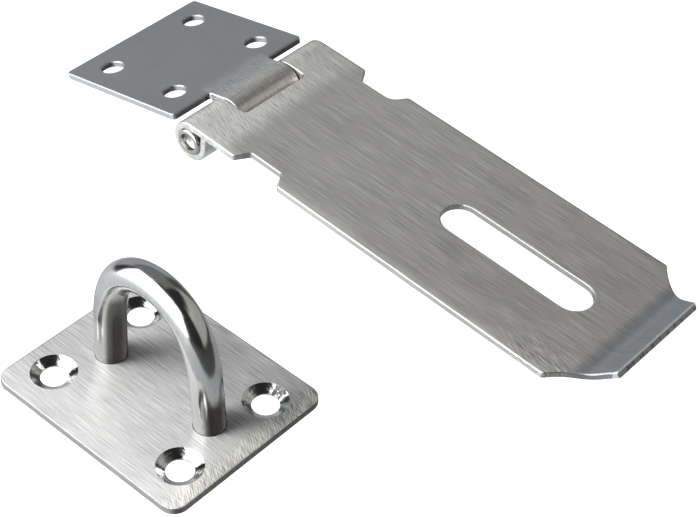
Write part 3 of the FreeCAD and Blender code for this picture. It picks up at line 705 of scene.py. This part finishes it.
def plate_steel():
    """The staple's plate: brushed sheet whose bright tone is partly its own and partly painted light,
    burnished along one end, with polished countersinks, painted shade towards its back, on its far and left
    edges, far rims, right end and near sides, and a painted sheen and glow in front.
    """
    steel = Steel("plate_steel")
    burnished = steel.product(
        steel.step(steel.along, *PLATE.burnished_along), steel.step(steel.facing_out, *PLATE.burnished_facing)
    )
    cones = steel.product(
        steel.near_holes(PLATE.screws, *PLATE.countersink),
        steel.step(steel.facing_out, *PLATE.countersink_facing),
    )
    sheet = steel.flipped(cones)
    # Painted shade towards the back and painted sheen towards the near side.
    back = steel.step(steel.dot(steel.place, PLATE.back_direction), *PLATE.back_start)
    near = steel.step(steel.across, *PLATE.near_start)
    # Painted glow in front of the loop.
    glow = steel.product(
        steel.band(steel.along, *PLATE.glow_along, PLATE.glow_along_softness),
        steel.band(steel.across, *PLATE.glow_across, PLATE.glow_across_softness),
    )
    # Painted shade along the far and left edges.
    edges = steel.maths(
        "MAXIMUM",
        steel.step(steel.across, *PLATE.far_edge_across),
        steel.step(steel.along, *PLATE.left_edge_along),
    )
    # Painted shade on faces turned to the far side.
    shaded_far_rim = steel.step(steel.dot(steel.normal, PLATE.far_rim_direction), *PLATE.far_rim_facing)
    # Painted shade on the right end face.
    right_end = steel.step(steel.facing_along, *PLATE.end_facing)
    fine = steel.streaks(*PLATE.fine_lines)
    medium = steel.streaks(*PLATE.medium_lines, shift=5.0)
    patches = steel.clouds(PLATE.patch_size)
    grain = steel.clouds(PLATE.grain_size)
    strokes = steel.strokes(*PLATE.burnish_strokes, PLATE.burnish_turn)
    tone = steel.total(
        PLATE.tone,
        steel.product(fine, PLATE.fine),
        steel.product(medium, PLATE.medium),
        steel.product(patches, PLATE.patches),
        steel.product(grain, PLATE.grain),
        steel.product(burnished, strokes, PLATE.burnish),
        steel.product(back, PLATE.back),
        steel.product(near, PLATE.near),
        steel.product(glow, PLATE.glow),
    )
    tone = steel.product(
        tone,
        steel.faded(edges, PLATE.edge_shade_factor),
        steel.faded(steel.product(shaded_far_rim, sheet), PLATE.far_rim_shade_factor),
        steel.faded(right_end, PLATE.end_factor),
        # Painted shade on the near side faces.
        steel.faded(steel.product(steel.on_near_side, sheet), PLATE.painted_near_side_factor),
    )
    polish = steel.maths(
        "MULTIPLY_ADD", steel.clouds(PLATE.polish_size, detail=1.0), PLATE.polish_patches, PLATE.polish
    )
    steel.colour(
        steel.blend(burnished, PLATE.tint, PLATE.burnished_tint),
        steel.total(steel.product(tone, sheet), steel.product(polish, cones)),
    )
    rough = steel.total(PLATE.roughness, steel.product(medium, PLATE.medium_roughness))
    steel.roughness(
        steel.total(steel.product(rough, sheet), steel.product(cones, PLATE.countersink_roughness))
    )
    steel.brushed(steel.product(sheet, PLATE.brushing))
    chatter = steel.product(cones, steel.clouds(PLATE.chatter_size, detail=1.0), PLATE.chatter_relief)
    steel.bump(steel.total(fine, medium, chatter), PLATE.relief)
    return steel.material


def loop_steel():
    """The polished rod of the staple: faint draw marks, and painted brown shade low on one side of the legs,
    with painted shade low on the left leg.
    """
    steel = Steel("loop_steel")
    left_leg = steel.step(steel.along, *LOOP.legs_apart)
    reach = steel.maths("MULTIPLY_ADD", left_leg, LOOP.painted_shade_left - LOOP.painted_shade_right, LOOP.painted_shade_right)
    above_reach = steel.maths("SUBTRACT", steel.height, reach)
    low = steel.step(above_reach, LOOP.painted_shade_softness, -LOOP.painted_shade_softness)
    # Painted brown shade low on one side of the legs.
    painted_shade_side = steel.step(steel.dot(steel.normal, LOOP.painted_shade_direction), *LOOP.painted_shade_facing)
    painted_shade = steel.product(low, painted_shade_side)
    ripple = steel.clouds(LOOP.ripple_size)
    grain = steel.clouds(LOOP.grain_size)
    marks = steel.noise(
        steel.joined(
            steel.maths("DIVIDE", steel.along, LOOP.mark_width),
            steel.maths("DIVIDE", steel.across, LOOP.mark_width),
            steel.maths("DIVIDE", steel.height, LOOP.mark_length),
        ),
        detail=3.0,
    )
    tone = steel.total(LOOP.tone, steel.product(grain, LOOP.grain), steel.product(marks, LOOP.marks))
    tone = steel.product(
        tone,
        steel.faded(painted_shade, LOOP.painted_shade_factor),
        steel.faded(steel.product(low, left_leg), LOOP.left_leg_shade_factor),
    )
    steel.colour(steel.blend(painted_shade, LOOP.tint, LOOP.painted_shade_tint), tone)
    steel.roughness(steel.total(LOOP.roughness, steel.product(marks, LOOP.mark_roughness)))
    steel.bump(steel.total(ripple, steel.product(marks, LOOP.mark_relief)), LOOP.relief)
    return steel.material


def pin_steel():
    """The hinge pin: turned rod with a drilled centre."""
    steel = Steel("pin_steel")
    grain = steel.clouds(PIN.grain_size)
    steel.colour(PIN.tint, steel.total(PIN.tone, steel.product(grain, PIN.grain)))
    steel.roughness(steel.maths("MULTIPLY_ADD", grain, PIN.grain_roughness, PIN.roughness))
    steel.bump(grain, PIN.relief)
    return steel.material


def loop_stations():
    """Places along the rod's axis, each with its lean: (x, z, lean), from one foot to the other."""
    sin_lean, cos_lean = math.sin(LEG_LEAN), math.cos(LEG_LEAN)
    sin_steep, cos_steep = math.sin(SHOULDER_LEAN), math.cos(SHOULDER_LEAN)
    across = LOOP_HALF_SPAN - FOOT_BEND * (1 - cos_lean) - SHOULDER_BEND * (cos_lean - cos_steep)
    rise = CROWN_HEIGHT - FOOT_BEND * sin_lean - SHOULDER_BEND * (sin_steep - sin_lean)
    share = sin_lean * (1 - sin_steep) - cos_steep * cos_lean
    leg = (across * (1 - sin_steep) - rise * cos_steep) / share
    crown = (rise * sin_lean - across * cos_lean) / share
    stretches = (
        (PLATE_THICKNESS, 0.0),
        (FOOT_BEND * LEG_LEAN, LEG_LEAN),
        (leg, 0.0),
        (SHOULDER_BEND * (SHOULDER_LEAN - LEG_LEAN), SHOULDER_LEAN - LEG_LEAN),
        (crown * (math.pi / 2 - SHOULDER_LEAN), math.pi / 2 - SHOULDER_LEAN),
    )
    x, z, lean = LOOP_HALF_SPAN, 0.0, 0.0
    half = [(x, z, lean)]
    for length, turn in stretches:
        steps = max(1, round(length / LOOP_STEP))
        for _ in range(steps):
            lean += turn / steps
            chord = length / steps
            middle = lean - turn / steps / 2
            x -= chord * math.sin(middle)
            z += chord * math.cos(middle)
            half.append((x, z, lean))
    return half + [(-x, z, math.pi - lean) for x, z, lean in reversed(half[:-1])]


def add_loop():
    """The staple's loop as one smooth swept rod, in place of its solid."""
    stations = loop_stations()
    vertices = []
    for x, z, lean in stations:
        outward = Vector((math.cos(lean), 0, math.sin(lean)))
        for turn in range(LOOP_SIDES):
            angle = 2 * math.pi * turn / LOOP_SIDES
            spoke = math.cos(angle) * outward + math.sin(angle) * Vector((0, 1, 0))
            vertices.append((LOOP_PLACE + Vector((x, 0, z)) + ROD_RADIUS * spoke) * MM)
    faces = []
    for ring in range(len(stations) - 1):
        low, high = ring * LOOP_SIDES, (ring + 1) * LOOP_SIDES
        for turn in range(LOOP_SIDES):
            after = (turn + 1) % LOOP_SIDES
            faces.append((low + turn, high + turn, high + after, low + after))
    faces.append(tuple(range(LOOP_SIDES)))
    last = (len(stations) - 1) * LOOP_SIDES
    faces.append(tuple(reversed(range(last, last + LOOP_SIDES))))
    mesh = bpy.data.meshes.new("polished_loop")
    mesh.from_pydata(vertices, [], faces)
    mesh.polygons.foreach_set("use_smooth", [len(face) == 4 for face in faces])
    mesh.materials.append(loop_steel())
    loop = bpy.data.objects.new("polished_loop", mesh)
    bpy.context.scene.collection.objects.link(loop)
    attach(loop, "base")
    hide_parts("staple_loop")


def finish_pieces():
    """Gives each piece its finish."""
    for node, material in (
        ("hinge_leaf", leaf_steel()),
        ("hasp_strap", strap_steel()),
        ("hinge_pin", pin_steel()),
        ("staple_plate", plate_steel()),
    ):
        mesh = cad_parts[node].data
        mesh.materials.clear()
        mesh.materials.append(material)


def add_floor():
    """A pale floor that the camera sees as white, with the soft shadows left on it; metal sees it dimmer,
    with a painted pool of lamp light and painted dark far off.
    """
    half = FLOOR_SIZE / 2
    mesh = bpy.data.meshes.new("floor")
    corners = [(-half, -half, 0), (half, -half, 0), (half, half, 0), (-half, half, 0)]
    mesh.from_pydata(corners, [], [(0, 1, 2, 3)])
    floor = bpy.data.objects.new("floor", mesh)
    bpy.context.scene.collection.objects.link(floor)
    floor.location.z = -FLOOR_DROP
    material = bpy.data.materials.new("floor")
    material.use_nodes = True
    nodes = Nodes(material.node_tree)
    shader = nodes.tree.nodes["Principled BSDF"]
    shader.inputs["Roughness"].default_value = FLOOR_ROUGHNESS
    shader.inputs["Specular IOR Level"].default_value = 0.0
    shader.inputs["Emission Color"].default_value = WHITE
    rays = nodes.add("ShaderNodeLightPath").outputs
    place = nodes.scaled(nodes.add("ShaderNodeTexCoord").outputs["Object"], 1 / MM)
    # Painted light and shade on the floor as metal mirrors it: a pool towards the lamp, dark far off along X.
    lampward = nodes.step(nodes.dot(place, TOWARDS_LAMP), *LAMP_POOL)
    away = nodes.step(nodes.parted(place)["X"], *POOL_END)
    mirrored = nodes.blend(away, nodes.blend(lampward, FLOOR_IN_METAL, FLOOR_NEAR_LAMP), FLOOR_FAR_OFF)
    nodes.put(shader.inputs["Base Color"], nodes.blend(rays["Is Glossy Ray"], FLOOR_COLOUR, mirrored))
    nodes.put(shader.inputs["Emission Strength"], nodes.product(rays["Is Camera Ray"], FLOOR_GLOW))
    mesh.materials.append(material)


def light_world():
    """A dim studio with pale screens, which the metal mirrors, and white to the camera."""
    world = bpy.data.worlds.new("studio")
    bpy.context.scene.world = world
    world.use_nodes = True
    world.cycles.sampling_method = "NONE"
    nodes = Nodes(world.node_tree)
    nodes.tree.nodes.clear()
    spot = nodes.parted(nodes.add("ShaderNodeTexCoord").outputs["Generated"])
    azimuth = nodes.maths("DEGREES", nodes.maths("ARCTAN2", spot["X"], spot["Y"]))
    elevation = nodes.maths("DEGREES", nodes.maths("ARCSINE", spot["Z"]))
    seen = STUDIO_GLOOM
    for sides, heights, colour in SCREENS.values():
        mask = nodes.product(
            nodes.band(azimuth, *sides, EDGE_SOFTNESS), nodes.band(elevation, *heights, EDGE_SOFTNESS)
        )
        brighter = nodes.add("ShaderNodeVectorMath", operation="ADD")
        nodes.put(brighter.inputs[0], seen)
        nodes.put(brighter.inputs[1], nodes.scaled(colour, mask))
        seen = brighter.outputs[0]
    plain, mirrored, white = (nodes.add("ShaderNodeBackground") for _ in range(3))
    nodes.put(plain.inputs["Color"], PLAIN_LIGHT)
    nodes.put(mirrored.inputs["Color"], seen)
    nodes.put(white.inputs["Color"], WHITE)
    rays = nodes.add("ShaderNodeLightPath").outputs
    result = plain.outputs[0]
    for ray, shade in (("Is Glossy Ray", mirrored), ("Is Camera Ray", white)):
        mix = nodes.add("ShaderNodeMixShader")
        nodes.put(mix.inputs[0], rays[ray])
        nodes.put(mix.inputs[1], result)
        nodes.put(mix.inputs[2], shade.outputs[0])
        result = mix.outputs[0]
    nodes.put(nodes.add("ShaderNodeOutputWorld").inputs[0], result)


def add_softbox():
    """The large soft lamp in front of the model."""
    data = bpy.data.lights.new("softbox", "AREA")
    data.shape = "RECTANGLE"
    data.size = SOFTBOX_WIDTH
    data.size_y = SOFTBOX_HEIGHT
    data.energy = SOFTBOX_RADIANCE * math.pi * SOFTBOX_WIDTH * SOFTBOX_HEIGHT
    lamp = bpy.data.objects.new("softbox", data)
    bpy.context.scene.collection.objects.link(lamp)
    lamp.visible_camera = False
    towards = studio_direction(SOFTBOX_AZIMUTH, SOFTBOX_ELEVATION)
    lamp.location = VIEW_TARGET + towards * SOFTBOX_DISTANCE
    lamp.rotation_mode = "QUATERNION"
    lamp.rotation_quaternion = towards.to_track_quat("Z", "Y")


bpy.context.scene.view_settings.view_transform = "Standard"
add_camera()
add_floor()
light_world()
add_softbox()
finish_pieces()
add_loop()
